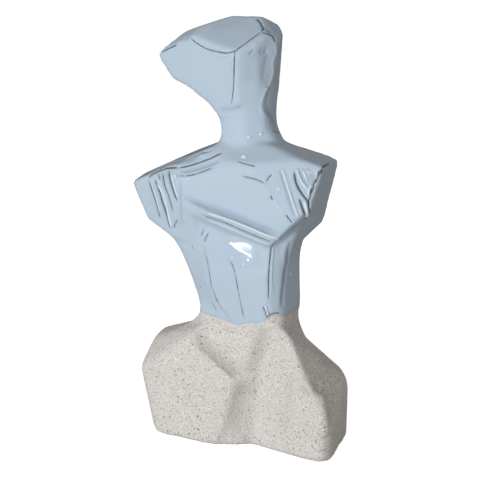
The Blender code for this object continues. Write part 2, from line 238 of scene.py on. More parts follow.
def worked_clay_tree():
    """Blur the skin by its softness and let it undulate a little."""
    tree = bpy.data.node_groups.new("worked clay", 'GeometryNodeTree')
    tree.interface.new_socket("Geometry", in_out='INPUT', socket_type='NodeSocketGeometry')
    number_input(tree, "Light Passes", LIGHT_PASSES, 'NodeSocketInt')
    number_input(tree, "Strong Passes", STRONG_PASSES, 'NodeSocketInt')
    number_input(tree, "Undulation", 0.0)
    number_input(tree, "Undulation Scale", 1 / UNDULATION_LENGTH)
    tree.interface.new_socket("Geometry", in_out='OUTPUT', socket_type='NodeSocketGeometry')
    new = tree.nodes.new
    into, out = new('NodeGroupInput'), new('NodeGroupOutput')
    where, soft = new('GeometryNodeInputPosition'), new('GeometryNodeInputNamedAttribute')
    soft.data_type = 'FLOAT'
    soft.inputs["Name"].default_value = "softness"
    light, strong = new('GeometryNodeBlurAttribute'), new('GeometryNodeBlurAttribute')
    light.data_type = strong.data_type = 'FLOAT_VECTOR'
    light.inputs["Weight"].default_value = LIGHT_WEIGHT
    first, second, third = (new('GeometryNodeSetPosition') for _ in range(3))
    noise = new('ShaderNodeTexNoise')
    noise.inputs["Detail"].default_value = 1.0
    centred, along = new('ShaderNodeMath'), new('ShaderNodeVectorMath')
    centred.operation, along.operation = 'SUBTRACT', 'SCALE'
    centred.inputs[1].default_value = 0.5
    amount, local = new('ShaderNodeMath'), new('ShaderNodeMath')
    unrest = new('GeometryNodeInputNamedAttribute')
    amount.operation = local.operation = 'MULTIPLY'
    unrest.data_type = 'FLOAT'
    unrest.inputs["Name"].default_value = "unrest"
    normal = new('GeometryNodeInputNormal')
    realize, paint = new('GeometryNodeRealizeInstances'), new('GeometryNodeSetMaterial')
    wired(tree, [
        (into.outputs["Geometry"], first.inputs["Geometry"]),
        (where.outputs[0], light.inputs["Value"]),
        (into.outputs["Light Passes"], light.inputs["Iterations"]),
        (light.outputs[0], first.inputs["Position"]),
        (first.outputs[0], second.inputs["Geometry"]),
        (where.outputs[0], strong.inputs["Value"]),
        (into.outputs["Strong Passes"], strong.inputs["Iterations"]),
        (soft.outputs["Attribute"], strong.inputs["Weight"]),
        (strong.outputs[0], second.inputs["Position"]),
        (second.outputs[0], third.inputs["Geometry"]),
        (into.outputs["Undulation Scale"], noise.inputs["Scale"]),
        (noise.outputs["Fac"], centred.inputs[0]),
        (centred.outputs[0], amount.inputs[0]),
        (into.outputs["Undulation"], amount.inputs[1]),
        (normal.outputs[0], along.inputs[0]),
        (amount.outputs[0], local.inputs[0]),
        (unrest.outputs["Attribute"], local.inputs[1]),
        (local.outputs[0], along.inputs["Scale"]),
        (along.outputs[0], third.inputs["Offset"]),
        (third.outputs[0], realize.inputs[0]),
        (realize.outputs[0], paint.inputs["Geometry"]),
        (paint.outputs[0], out.inputs[0]),
    ])
    return tree, paint


tree, paint = worked_clay_tree()
print("worked clay:", len(tree.nodes), "nodes")

# %% Run the rule over the skin
clay = bpy.data.materials.new("glazed_stoneware")
paint.inputs["Material"].default_value = clay
worked = torso.modifiers.new("worked clay", 'NODES')
worked.node_group = tree
identifiers = {item.name: item.identifier for item in tree.interface.items_tree if item.in_out == 'INPUT'}
worked[identifiers["Undulation"]] = UNDULATION
applied(torso)
moved = np.linalg.norm(points_of(torso.data) - start, axis=1)
print("blur moved points by up to", round(moved.max() / MM, 1), "mm")

# %% [markdown]
# A glossy glaze mirrors the room, and on the belly it mirrors one window as a clean white patch.
# Only a nearly flat place does that, because a bent one smears the image or doubles it. So the
# skin around that place is drawn onto a plane, fully in the middle and less towards the rim. The
# plane leans back a little: under the fold the belly looks slightly down, and would mirror the
# floor.

# %% The flat place on the belly
FLAT_ACROSS, FLAT_DOWN, FLAT_DEPTH = 27 * MM, 15 * MM, 4 * MM
FLAT_SAMPLE = 9 * MM
FLAT_TILT = math.radians(6.5)

worked_surface = tree_of(torso.data)
belly = worked_surface.ray_cast(eye, ray_through(CALM_MIDDLE))[0]
outward = sum((found[1] for found in worked_surface.find_nearest_range(belly, FLAT_SAMPLE)), Vector())
outward.z = 0
belly_normal = outward.normalized() * math.cos(FLAT_TILT) + Vector((0, 0, math.sin(FLAT_TILT)))
sideways = np.array(belly_normal.cross(Vector((0, 0, 1))).normalized())
points = points_of(torso.data)
from_belly = points - np.array(belly)
off = from_belly @ np.array(belly_normal)
rim = (from_belly @ sideways / FLAT_ACROSS) ** 2 + (from_belly[:, 2] / FLAT_DOWN) ** 2
flat = np.exp(-rim ** 2 - (off / FLAT_DEPTH) ** 4)
set_points(torso.data, points - (flat * off)[:, None] * np.array(belly_normal))
print("flat place: the skin moved by up to", round(np.abs(flat * off).max() / MM, 1), "mm")

# %% [markdown]
# The strokes. A turning tool leaves a groove with a thin lip of clay pushed up on each side. The
# glaze pools in the groove and breaks over the lip, so each stroke shows as a dark line with a
# bright one beside it. Each stroke here has its path in the picture, its width in millimetres,
# how deep it is pressed (a negative depth is a ridge), and how dark the glaze breaks along it.
# Wide, shallow ones are dents and swellings left by the hand; the dents carry painted shade. Narrow
# ridges carry a painted highlight on their crest, and very short ridges are beads with a painted glint.

# %% The strokes, by the places where they show in the picture
STROKES = {
    # The head
    "crown_left": ([(188.5, 36), (193, 40), (198, 43.8), (205.5, 48.3), (213, 50.8), (221, 52.4),
        (228, 53)], 1.1, 0.2, 1.0),
    "crown_middle": ([(219, 52.3), (228, 53), (238, 50)], 1.0, 0.1, 0.9),
    "crown_right": ([(232, 53), (243, 45.5), (251, 39.5), (262, 31.6)], 1.2, 0.2, 1.0),
    "crown_glint": ([(213, 53.2), (221, 55), (230, 55.2)], 1.2, -0.35, 0.0),
    "crown_shade": ([(212, 27), (230, 21), (250, 18)], 12.0, 0.30, 0.0),
    "face_ridge": ([(234.9, 48.6), (234.6, 56), (234.3, 66), (234.1, 77), (233.4, 90),
        (231.4, 106)], 1.1, 0.12, 1.0),
    "face_glint": ([(232.9, 56), (232.8, 66), (232.7, 76)], 0.9, -0.35, 0.0),
    "beak_top": ([(155.5, 54.6), (166, 50), (178, 44.4)], 1.3, 0.2, 1.0),
    "beak_mark": ([(184.5, 41.1), (189.2, 37.3)], 1.0, 0.25, 0.8),
    "temple_top": ([(256.5, 18.6), (260.5, 23.5), (263.3, 28.3), (261.4, 32.4)], 1.7, 0.3, 1.0),
    "temple_right": ([(261, 32.4), (267, 34), (272, 36.2), (275.3, 43)], 1.6, 0.2, 0.9),
    "temple_patch": ([(262, 24), (267, 29.5), (272, 33)], 5.0, 0.6, 0.0),
    "cheek_mark": ([(249, 55.4), (251, 52.6), (254, 51)], 0.9, 0.3, 0.7),
    "cheek_hollow": ([(250, 46), (252, 58), (252, 72), (253, 84)], 11.0, 0.45, 0.0),
    "cheek_dent": ([(259, 50), (263, 53), (267, 50)], 4.0, 0.45, 0.0),
    "cheek_swell": ([(258, 58), (258.5, 70), (260, 84)], 9.0, -0.35, 0.0),
    "cheek_fold": ([(266, 44), (267, 56), (264, 68), (262, 80)], 5.0, 0.30, 0.0),
    "cheek_border": ([(272.5, 38.3), (275.7, 46), (276, 54), (272.7, 62), (273.3, 72), (270, 83),
        (265.5, 93), (262.6, 99), (261, 105), (262.6, 112), (267.8, 118), (269, 124.4),
        (272.4, 133)], 2.4, -0.22, 0.1),
    # The neck
    "neck_side": ([(272, 88), (268, 96), (266.5, 104), (268, 111), (272.5, 117), (274.5, 125),
        (278, 132)], 6.5, 0.75, 0.0),
    "jaw_crease": ([(219, 109.5), (226, 109.8), (234, 109), (243, 107)], 3.6, 0.55, 0.0),
    "jaw_roll": ([(221, 115), (228, 114.8), (236, 114)], 1.8, -0.25, 0.0),
    "neck_mark": ([(221, 117.6), (224, 121)], 1.0, 0.2, 0.5),
    "neck_foot": ([(272, 130.5), (277, 132.3), (282, 134), (286, 139.5), (292, 143.5),
        (299, 145.5)], 1.1, 0.4, 0.8),
    # The left shoulder
    "shoulder_edge": ([(134.9, 180.2), (149, 174.2), (164, 168.1), (170.6, 168.2)], 1.0, 0.1, 0.8),
    "shoulder_top": ([(150, 173), (165, 165.5), (180, 160.6), (200, 154.4)], 9.0, 1.0, 0.0),
    "shoulder_hollow": ([(181, 172), (192, 170), (208, 165), (219, 160)], 4.0, 0.8, 0.0),
    "shoulder_strip_low": ([(178, 168), (190.4, 165.2), (208, 159.3), (222.7, 152.7)], 1.5, 0.6, 0.95),
    "shoulder_strip_light": ([(176, 170.8), (190, 168.4), (208, 162.6), (221, 156.4)], 2.6, -0.12, 0.0),
    "shoulder_strip_high": ([(175.7, 163.7), (193.3, 155.5), (213.9, 149.8)], 2.2, 0.6, 0.6),
    "shoulder_strip_front": ([(177.2, 175.8), (188, 175.6), (200, 172.6), (214, 167)], 1.6, 0.5, 0.6),
    # The strokes beside the left cut
    "left_arc": ([(148.3, 178.6), (151, 175.6), (154.4, 173.3), (161, 170.4), (167.8, 168.3),
        (178.9, 167.6)], 2.0, 0.35, 1.0),
    "left_a": ([(148.3, 178.9), (151.4, 189), (154.4, 197.8), (157.4, 208),
        (160.4, 219)], 1.1, 0.55, 0.95),
    "left_a_light": ([(151.2, 180.5), (154.2, 190), (157.2, 199.5), (161, 214)], 1.5, -0.5, 0.1),
    "left_b_dark": ([(154.4, 178.9), (158.9, 190), (162.2, 201), (166.7, 215.6),
        (169.8, 228.6)], 1.5, 0.9, 1.0),
    "left_b_light": ([(157.8, 183), (162, 190.5), (165.6, 198.7), (168.9, 213.6),
        (172.2, 227.8)], 2.2, -0.8, 0.1),
    "left_b_top": ([(158.1, 172.5), (160.3, 180.6)], 0.9, 0.3, 0.7),
    "left_c": ([(168.9, 169.6), (169.8, 178.9), (173.3, 191), (177.2, 202)], 1.3, 0.75, 1.0),
    "left_c_light": ([(171.4, 171), (173, 180), (176.4, 192), (179, 199)], 1.6, -0.6, 0.1),
    "left_c_inner": ([(162.8, 171.5), (164.4, 185), (168.9, 197), (173.3, 213.3)], 1.3, 0.75, 0.9),
    "left_d": ([(180.4, 180), (180.9, 196), (181.4, 210), (182, 226)], 1.6, 0.4, 0.3),
    "left_branch": ([(173.5, 228.3), (175.4, 223.6), (177.9, 219.5)], 1.0, 0.4, 0.8),
    "left_spot": ([(175.3, 174), (176, 178.4)], 2.0, -0.9, 0.0),
    # The chest
    "clavicle": ([(237.3, 161), (247.6, 164.3), (256.4, 166.7)], 1.1, 0.4, 0.7),
    "clavicle_light": ([(241, 157.6), (247, 157)], 1.8, -0.12, 0.0),
    "chest_line": ([(241.8, 176.2), (255, 179.1), (265.2, 183.5)], 1.0, 0.3, 0.95),
    "chest_branch": ([(266.4, 182), (268.2, 178.4), (271.8, 174)], 1.0, 0.3, 0.95),
    "chest_nick": ([(270.6, 195.4), (272.6, 200.4)], 1.0, 0.4, 0.9),
    # The strokes beside the right cut
    "strap_light": ([(282.2, 168.5), (287.8, 185.6), (293.3, 203.3), (298.6, 218)], 1.8, -0.9, 0.0),
    "strap_dark": ([(279.6, 169.5), (285.2, 187), (290.6, 204), (295, 217)], 1.3, 0.4, 0.2),
    "strap_nick": ([(285.8, 214.3), (289, 219), (292.4, 223.1)], 1.1, 0.4, 0.9),
    "right_a": ([(293.9, 171), (296.7, 184.4), (303.3, 195.6), (308.3, 202.2),
        (309.2, 211)], 1.5, 0.8, 1.0),
    "right_a_light": ([(296.7, 168.9), (299.4, 176), (302.2, 182.2), (308.3, 190)], 1.5, -0.8, 0.0),
    "right_b": ([(299.4, 198.6), (302.2, 207.8), (305.8, 216)], 1.4, 0.8, 1.0),
    "right_b_light": ([(304, 201), (306, 207), (307.4, 213.6)], 2.4, -0.7, 0.0),
    "right_c": ([(299.6, 169), (303.2, 178.6), (309.4, 186.4)], 1.0, 0.4, 0.5),
    "right_c_light": ([(303.3, 170.5), (305.6, 176), (307.8, 182.4)], 1.5, -0.8, 0.0),
    "right_top": ([(297, 168.2), (305, 168.6), (313.6, 170.3)], 0.9, 0.2, 0.6),
    "right_scoop": ([(311, 174), (313, 181), (312, 188)], 5.0, 0.7, 0.0),
    # The broken edge of the right cut
    "right_end": ([(336.4, 160.8), (331, 161.4), (326.5, 164.2), (323.2, 165.4), (322, 169.4),
        (318.6, 172.8), (318.4, 176), (316.4, 180.4), (313.6, 184), (313.4, 188.6), (311, 192.6),
        (310.6, 196.6), (308.6, 201), (309.2, 206.8), (309.2, 212.4), (306.6, 216), (304.6, 220),
        (298.6, 223.6), (293.6, 228.4), (288.6, 231), (284.3, 235.6)], 1.2, 0.3, 0.85),
    "end_blot_top": ([(322.6, 167.4), (326, 165), (329, 163.8)], 2.4, 0.2, 1.0),
    "end_blot_a": ([(322.6, 169.6), (320.4, 172.6), (318.6, 174.6)], 2.6, 0.2, 1.0),
    "end_blot_b": ([(316.8, 179), (315, 182.6)], 2.4, 0.2, 1.0),
    "end_blot_c": ([(312.6, 188.4), (311, 193.4)], 2.4, 0.2, 1.0),
    "end_light_a": ([(311.6, 184.6), (309.6, 189.6), (308.2, 195)], 1.6, -0.8, 0.0),
    "end_light_b": ([(317.6, 171.6), (315.4, 175.6)], 1.4, -0.6, 0.0),
    # The rolled fold
    "fold_shadow": ([(184, 198.4), (195, 202.4), (205, 206.4), (217.5, 210.4), (230, 215), (242, 219.6),
        (255, 225.4), (268, 230.4), (280, 235.4)], 4.6, 1.3, 0.0),
    "fold_light": ([(205, 212.2), (213.9, 214.8), (228.6, 219.6), (244.7, 225.6), (266.7, 235),
        (281, 239.8)], 1.8, -0.8, 0.0),
    "fold_crease": ([(202.1, 215.4), (214, 219.2), (227.1, 223.9), (243.2, 230.9), (259.4, 237.6),
        (273, 243)], 1.3, 1.0, 1.0),
    "fold_under": ([(204, 218.2), (212, 220.6), (219.8, 223.4), (230, 227.6), (246.2, 234.4),
        (260.8, 240.6), (271, 245.4)], 1.5, -0.7, 0.0),
    # The waist
    "rib_mark_a": ([(205.1, 228.5), (202.6, 233), (201.5, 237)], 1.0, 0.3, 0.6),
    "rib_mark_b": ([(209.4, 232.1), (206, 237.6), (203.9, 242.4)], 1.0, 0.3, 0.7),
    "rib_mark_c": ([(192.4, 243.6), (192.8, 249.1)], 1.0, 0.3, 0.6),
    "flank_mark": ([(201.5, 286.6), (199.1, 289.1)], 0.9, 0.3, 0.6),
    "waist_soft": ([(202.7, 244.2), (207.5, 262.4), (210, 277), (212.4, 289.1), (220.9, 307.2),
        (233, 321.8)], 1.1, 0.4, 0.6),
    "waist_nick_a": ([(210.6, 300.6), (213.6, 305.4), (216.6, 310.9)], 1.0, 0.3, 0.6),
    "waist_nick_b": ([(214.8, 297.5), (218.5, 303.6)], 1.0, 0.3, 0.55),
    "waist_crack": ([(228.4, 254.6), (231, 262), (234.2, 269.5), (237.8, 287.9), (239.7, 297.5),
        (242.1, 309.7), (245.7, 322.4)], 0.9, 0.22, 0.7),
    "waist_ridge": ([(274.6, 240.8), (271.2, 249.1), (269.9, 260), (268.9, 272.1), (268.6, 280.6),
        (268.6, 290), (268.4, 303.6)], 1.2, 0.25, 0.9),
    "waist_ridge_light": ([(273.4, 246), (272.4, 260), (271.6, 278), (272.6, 293)], 1.4, -0.25, 0.0),
    "waist_side": ([(291.6, 240.6), (288.5, 250), (286.8, 262), (284.8, 272), (283.6, 284), (282.4, 296),
        (282, 308)], 3.4, 0.8, 0.35),
    "waist_fold": ([(265.1, 305), (267, 310.6), (268.8, 316)], 1.3, -0.7, 0.0),
    "waist_fold_dark": ([(262.6, 306), (265, 311.6), (266.4, 316.6)], 1.0, 0.4, 0.7),
    "waist_end_dark": ([(265.5, 318), (269, 315), (275.5, 312.8), (280, 313.6)], 1.2, 0.2, 0.8),
    # The hips
    "hip_top_shade": ([(312, 338), (322, 352), (334, 368)], 16.0, 0.45, 0.0),
    "hip_chamfer": ([(286, 336), (294, 352), (301, 368), (305, 378)], 7.0, -0.3, 0.0),
    "hip_shelf": ([(302, 377), (311, 381.5), (320, 384)], 6.0, 0.4, 0.0),
    "hip_fold_a": ([(300.9, 385.5), (305, 391), (309, 396.5)], 2.6, -1.1, 0.0),
    "hip_fold_b": ([(297, 384), (300, 392), (303, 400)], 3.6, 0.4, 0.0),
    "hip_soft_fold": ([(291, 372), (289, 390), (286, 412), (283, 436)], 9.0, 0.45, 0.0),
    "hip_corner": ([(319.5, 393), (321.5, 405), (323, 420), (324.5, 438)], 11.0, -2.4, 0.0),
    "groin": ([(193, 332), (207, 346), (224, 360.5), (240, 374)], 11.0, 1.7, 0.0),
    "groin_lip": ([(194, 345.5), (208, 358), (223, 371), (235, 381)], 3.4, -0.8, 0.0),
    "belly_valley": ([(264, 326), (260, 345), (255, 360), (248, 376)], 12.0, 1.5, 0.0),
    "valley": ([(249, 382), (243, 400), (238.5, 420), (235.5, 437)], 11.0, 1.3, 0.0),
    # Beads of glaze, each whitened by a painted glint
    "glint_neck_a": ([(247.2, 137.6), (250.8, 136.4)], 2.4, -0.9, 0.0),
    "glint_neck_b": ([(260.5, 132.6), (261.3, 135.2)], 2.4, -0.9, 0.0),
    "glint_chest": ([(241.6, 157.2), (246.4, 156.8)], 2.4, -0.9, 0.0),
    "glint_right_a": ([(277.2, 190), (279.8, 189.4)], 2.4, -0.9, 0.0),
    "glint_right_b": ([(264.1, 183.4), (265.1, 185.4)], 2.4, -0.9, 0.0),
    "glint_end": ([(306, 212.6), (307, 215.8)], 2.2, -1.1, 0.0),
    "glint_belly": ([(231.4, 258), (233.6, 257)], 2.4, -0.9, 0.0),
    "glint_side": ([(289.6, 272.4), (290.6, 275.4)], 1.8, -0.6, 0.0),
    "glint_belly_bubble": ([(242.8, 263.4), (244.8, 265.4)], 2.4, -0.9, 0.0),
}
print("strokes:", len(STROKES), "of which", sum(stroke[2] < 0 for stroke in STROKES.values()), "are ridges")

# %% Drop the strokes onto the clay
STEP_PIXELS = 0.5


def smooth_path(corners, step):
    """Points a step apart on a smooth curve through the corners."""
    corners = [Vector(corner) for corner in corners]
    ends = [corners[0] * 2 - corners[1]] + corners + [corners[-1] * 2 - corners[-2]]
    path = []
    for before, first, second, after in zip(ends, ends[1:], ends[2:], ends[3:]):
        count = max(2, round((second - first).length / step))
        for i in range(count):
            t = i / count
            path.append(0.5 * (2 * first + (second - before) * t
                               + (2 * before - 5 * first + 4 * second - after) * t**2
                               + (3 * first - before - 3 * second + after) * t**3))
    return path + [corners[-1]]


def laid_on(surface, corners):
    """A path of the picture, dropped onto the clay along the camera's rays."""
    hits = [surface.ray_cast(eye, ray_through(pixel))[0] for pixel in smooth_path(corners, STEP_PIXELS)]
    return np.array([hit for hit in hits if hit is not None])


surface = tree_of(torso.data)
laid = {name: laid_on(surface, stroke[0]) for name, stroke in STROKES.items()}
print("the strokes meet the clay at", sum(len(path) for path in laid.values()), "points")

# %% [markdown]
# Glaze also thins on every sharp edge of the figure, also on the sides that the picture doesn't
# show. Those edges needn't be drawn: the solid knows them. An edge counts when it is long, it
# stands outwards, and its two faces meet at a clear angle. It is passed over beside a drawn
# stroke, which already holds the break, and at one corner of the right cut that is rubbed round.

# %% Sharp edges of the solid, for the glaze to break on
SHARP = math.radians(32)
SHORTEST_EDGE = 12 * MM
LOWEST_EDGE = 222 * MM
EDGE_SPACING = 0.8 * MM
NECK_ABOVE = 12 * MM
CLEAR_OF_DRAWN = 14 * MM
ROUNDED, ROUNDED_REACH = (319, 216), 12


def sharp_edges(shape):
    """Points along every long, sharp, outward edge in the glazed part."""
    found = []
    for edge in shape.edges:
        low = min(vertex.co.z for vertex in edge.verts)
        middle = (edge.verts[0].co.z + edge.verts[1].co.z) / 2
        in_neck = NECK_LOW - NECK_FADE < middle < NECK_HIGH + NECK_ABOVE
        if len(edge.link_faces) != 2 or low < LOWEST_EDGE or in_neck:
            continue
        if edge.calc_length() < SHORTEST_EDGE or edge.calc_face_angle_signed() < SHARP:
            continue
        count = max(2, round(edge.calc_length() / EDGE_SPACING))
        first, second = edge.verts[0].co, edge.verts[1].co
        found += [first.lerp(second, i / count) for i in range(count + 1)]
    return np.array(found)


def picture_places(points):
    """Where points show in the picture, as pixels across and down."""
    from_eye = points - np.array(eye)
    ahead = from_eye @ np.array(-to_camera)
    return (PICTURE / 2 + FOCAL_PIXELS * (from_eye @ np.array(to_right)) / ahead,
            PICTURE / 2 - FOCAL_PIXELS * (from_eye @ np.array(to_top)) / ahead)


edge_points = sharp_edges(merged)
merged.free()
drawn = np.concatenate([path[::4] for path in laid.values() if len(path)])
clear = [np.linalg.norm(drawn - point, axis=1).min() > CLEAR_OF_DRAWN for point in edge_points]
edge_points = edge_points[np.array(clear)]
across, down = picture_places(edge_points)
edge_points = edge_points[np.hypot(across - ROUNDED[0], down - ROUNDED[1]) > ROUNDED_REACH]
print("sharp edge points:", len(edge_points))

# %% [markdown]
# A two-millimetre skin can't hold a one-millimetre groove. Only the bands beside the strokes
# need finer faces, so the edges there are split twice, and the split points are blurred a little
# so that they don't keep the old corners.

# %% Helpers that find, split and blur the bands
def near_any(points, paths, reach):
    """Which points lie within reach of any of the paths."""
    close = np.zeros(len(points), dtype=bool)
    for path in paths:
        inside = np.all((points > path.min(0) - reach) & (points < path.max(0) + reach), axis=1)
        rows = np.flatnonzero(inside)
        gap = np.linalg.norm(points[rows, None, :] - path[None, ::3, :], axis=2).min(axis=1)
        close[rows[gap < reach]] = True
    return close


def split_near(mesh, paths, reach):
    """Halve the edges that lie within reach of the paths."""
    shape = bmesh.new()
    shape.from_mesh(mesh)
    close = near_any(points_of(mesh), paths, reach)
    chosen = [edge for edge in shape.edges if all(close[vertex.index] for vertex in edge.verts)]
    bmesh.ops.subdivide_edges(shape, edges=chosen, cuts=1, use_grid_fill=True)
    shape.to_mesh(mesh)
    shape.free()


def blurred(mesh, weights, passes):
    """Move each point towards the mean of its neighbours."""
    points = points_of(mesh)
    ends = np.empty(len(mesh.edges) * 2, dtype=np.int64)
    mesh.edges.foreach_get("vertices", ends)
    ends = ends.reshape(-1, 2)
    both = np.concatenate([ends, ends[:, ::-1]])
    degree = np.bincount(both[:, 0], minlength=len(points))
    for _ in range(passes):
        total = np.stack([np.bincount(both[:, 0], points[both[:, 1], axis], len(points))
                          for axis in range(3)], axis=1)
        points += weights[:, None] * (total / degree[:, None] - points)
    set_points(mesh, points)


paths = [path for path in laid.values() if len(path) > 1]
print("bands run beside", len(paths), "strokes")

# %% Finer skin beside the strokes
BAND, NARROW_BAND, BLURRED_BAND = 3.2 * MM, 1.7 * MM, 3.84 * MM
BAND_BLUR, BAND_PASSES = 0.5, 6

for reach in (BAND, NARROW_BAND):
    split_near(torso.data, paths, reach)
close = near_any(points_of(torso.data), paths, BLURRED_BAND)
blurred(torso.data, BAND_BLUR * close, BAND_PASSES)
print("refined skin:", len(torso.data.vertices), "points,",
      sum(len(face.vertices) - 2 for face in torso.data.polygons), "triangles")

# %% [markdown]
# Each stroke is pressed in as a smooth trough that fades out at both ends, and one pressure scales
# every depth. A narrow one, cut with a tool, pushes up a low lip on each side, and a wide one has
# none. The same distances tell the glaze where it breaks and where it pools in a groove, where
# painted shade darkens a dent, and where a painted highlight lies on a narrow ridge. They are
# stored on the points, so the finish follows the clay from every side.

# %% Helpers that measure from a stroke
def nearest_on(points, path, reach):
    """Rows within reach of the path, their distance to it and how far along it they are."""
    inside = np.all((points > path.min(0) - reach) & (points < path.max(0) + reach), axis=1)
    rows = np.flatnonzero(inside)
    gaps = np.linalg.norm(points[rows, None, :] - path[None, :, :], axis=2)
    nearest = gaps.argmin(axis=1)
    gap = gaps[np.arange(len(rows)), nearest]
    keep = gap < reach
    return rows[keep], gap[keep], nearest[keep] / max(1, len(path) - 1)


def normals_of(mesh):
    """The mesh's point normals as an array."""
    normals = np.empty(len(mesh.vertices) * 3)
    mesh.vertices.foreach_get("normal", normals)
    return normals.reshape(-1, 3)


points, normals = points_of(torso.data), normals_of(torso.data)
print("points to press:", len(points))

# %% Press the strokes into the clay
GROOVE_REACH, WIDE_REACH = 9.0 * MM, 1.7 * MM
TAPER_END = 0.16
NARROWEST = 1.5
PRESSURE, GROOVE_SPREAD = 1.8, 1.3
LIP_HEIGHT, LIP_PLACE, LIP_SPREAD = 0.30, 2.6, 1.2
NARROW_STROKE, BREAK_WIDTH, WIDEST_BREAK = 3.5, 0.60 * MM, 2.2
NARROW_POOL, WIDE_SHADE, CREST_HIGHLIGHT_SPREAD = 2.2, 1.2, 1.2

lift = np.zeros(len(points))
breaks = np.zeros(len(points))
pool_and_shade = np.zeros(len(points))
crest_highlight = np.zeros(len(points))
for name, (corners, width, depth, dark) in STROKES.items():
    path, narrow = laid[name], width < NARROW_STROKE
    if len(path) < 2:
        continue
    rows, gap, share = nearest_on(points, path, max(GROOVE_REACH, WIDE_REACH * width))
    taper = np.clip(np.minimum(share, 1 - share) / TAPER_END, 0, 1) ** 0.5
    near = gap / (max(width, NARROWEST) * 0.5 * MM)
    groove = np.exp(-(near / GROOVE_SPREAD) ** 2)
    lip = np.exp(-((near - LIP_PLACE) / LIP_SPREAD) ** 2) * narrow
    lift[rows] += PRESSURE * depth * MM * taper * (-groove + LIP_HEIGHT * lip)
    broken = dark * taper * np.exp(-(gap / (min(max(width, 1.0), WIDEST_BREAK) * BREAK_WIDTH)) ** 2)
    breaks[rows] = np.maximum(breaks[rows], broken)
    # Darker glaze where it pools in the narrow grooves, and painted shade in the wide dents.
    pooled_and_shaded = np.clip(depth, 0, 1) * taper * np.exp(-(near / (NARROW_POOL if narrow else WIDE_SHADE)) ** 2)
    pool_and_shade[rows] = np.maximum(pool_and_shade[rows], pooled_and_shaded)
    # A painted highlight along the crest of a narrow ridge.
    if narrow:
        painted_highlight = np.clip(-depth, 0, 1) * taper * np.exp(-(near / CREST_HIGHLIGHT_SPREAD) ** 2)
        crest_highlight[rows] = np.maximum(crest_highlight[rows], painted_highlight)
print("strokes press the clay in by up to", round(-lift.min() / MM, 2), "mm")

# %% [markdown]
# The glaze skin. A dipped glaze ends in a slightly wavy line, with a bead where it stopped. The
# line is drawn in the picture like a stroke, and read off as a height across the figure. Above
# it the glaze adds its own thickness, which is what makes the small step at the waist.

# %% Where the glaze ends
GLAZE_LINE = [(200.3, 311.5), (205.1, 314.5), (214.8, 316.9), (222.1, 319.4), (230.6, 323), (239, 324.4),
              (247.5, 323.6), (258.4, 323), (264.5, 320.6), (269.3, 316.9), (275.4, 315.1), (282.7, 316.3)]
WAVE, WAVE_ACROSS, WAVE_DEEP = 0.5 * MM, 4.1 * MM, 6.3 * MM
GLAZE_THICKNESS, THIN_FROM, FULL_FROM = 0.45 * MM, -0.6 * MM, 1.2 * MM
BEAD, BEAD_PLACE, BEAD_WIDTH = 0.35 * MM, 1.4 * MM, 1.6 * MM

line = laid_on(surface, GLAZE_LINE)
order = np.argsort(line[:, 0])
line_height = np.interp(points[:, 0], line[order, 0], line[order, 2])
wave = WAVE * np.sin(points[:, 0] / WAVE_ACROSS + points[:, 1] / WAVE_DEEP)
above = points[:, 2] - line_height - wave
skin = GLAZE_THICKNESS * eased(above, THIN_FROM, FULL_FROM)
bead = BEAD * np.exp(-((above - BEAD_PLACE) / BEAD_WIDTH) ** 2)
lift += skin + bead
print("the glaze ends between", round(line[:, 2].min() / MM), "and", round(line[:, 2].max() / MM), "mm up")

# %% [markdown]
# The sharp edges break the glaze as the strokes do, only more softly. A search tree finds how far
# each point of the skin is from the nearest of them, and the darker of the two breaks is kept.

# %% Edges where the glaze breaks
EDGE_BREAK, EDGE_BREAK_WIDTH = 0.75, 1.6 * MM

edge_tree = KDTree(len(edge_points))
for index, point in enumerate(edge_points):
    edge_tree.insert(point, index)
edge_tree.balance()
edge_gap = np.array([edge_tree.find(point)[2] for point in points])
breaks = np.maximum(breaks, EDGE_BREAK * np.exp(-(edge_gap / EDGE_BREAK_WIDTH) ** 2))
set_value(torso.data, "breaks", breaks)
set_value(torso.data, "pool_and_shade", pool_and_shade)
set_value(torso.data, "crest_highlight", crest_highlight)
set_value(torso.data, "above_glaze_line", above / MM)
print("points on a break:", int((breaks > 0.5).sum()))

# %% [markdown]
# Now the strokes and the glaze move the skin along its normals, all in one step, so that neither
# bends the other. The foot is ground flat, as a potter does on a wheel or a board, and the skin is
# kept within the solid's box, because the solid holds the figure's true size.

# %% Move the skin, and keep it inside the solid's box
FOOT_FLAT = 0.9 * MM
points = points + normals * lift[:, None]
points[points[:, 2] < FOOT_FLAT, 2] = 0
points = np.clip(points, np.array(CAD_BOX[0]), np.array(CAD_BOX[1]))
set_points(torso.data, points)
torso.data.shade_smooth()
print("torso in mm, from", np.round(points.min(0) / MM, 1).tolist(),
      "to", np.round(points.max(0) / MM, 1).tolist())

# %% [markdown]
# The finish. One casting carries two surfaces, so one material holds both and a mask chooses
# between them: the height above the glaze line. Effects that both use are node groups: specks of
# grog, and a slow cloud that varies a colour.

# %% Helpers for building shader trees
def filled(tree, node, values):
    """Give a node's inputs their values, or link them where a value is a socket."""
    for place, value in values:
        if isinstance(value, bpy.types.NodeSocket):
            tree.links.new(value, node.inputs[place])
        else:
            node.inputs[place].default_value = value


def maths(tree, operation, first, second):
    """A Math node on two values or sockets, and its result."""
    node = tree.nodes.new('ShaderNodeMath')
    node.operation = operation
    filled(tree, node, ((0, first), (1, second)))
    return node.outputs[0]


def ramped(tree, value, low, high):
    """A soft step of a value from 0 at low to 1 at high."""
    node = tree.nodes.new('ShaderNodeMapRange')
    node.interpolation_type = 'SMOOTHSTEP'
    filled(tree, node, (("Value", value), ("From Min", low), ("From Max", high)))
    return node.outputs["Result"]


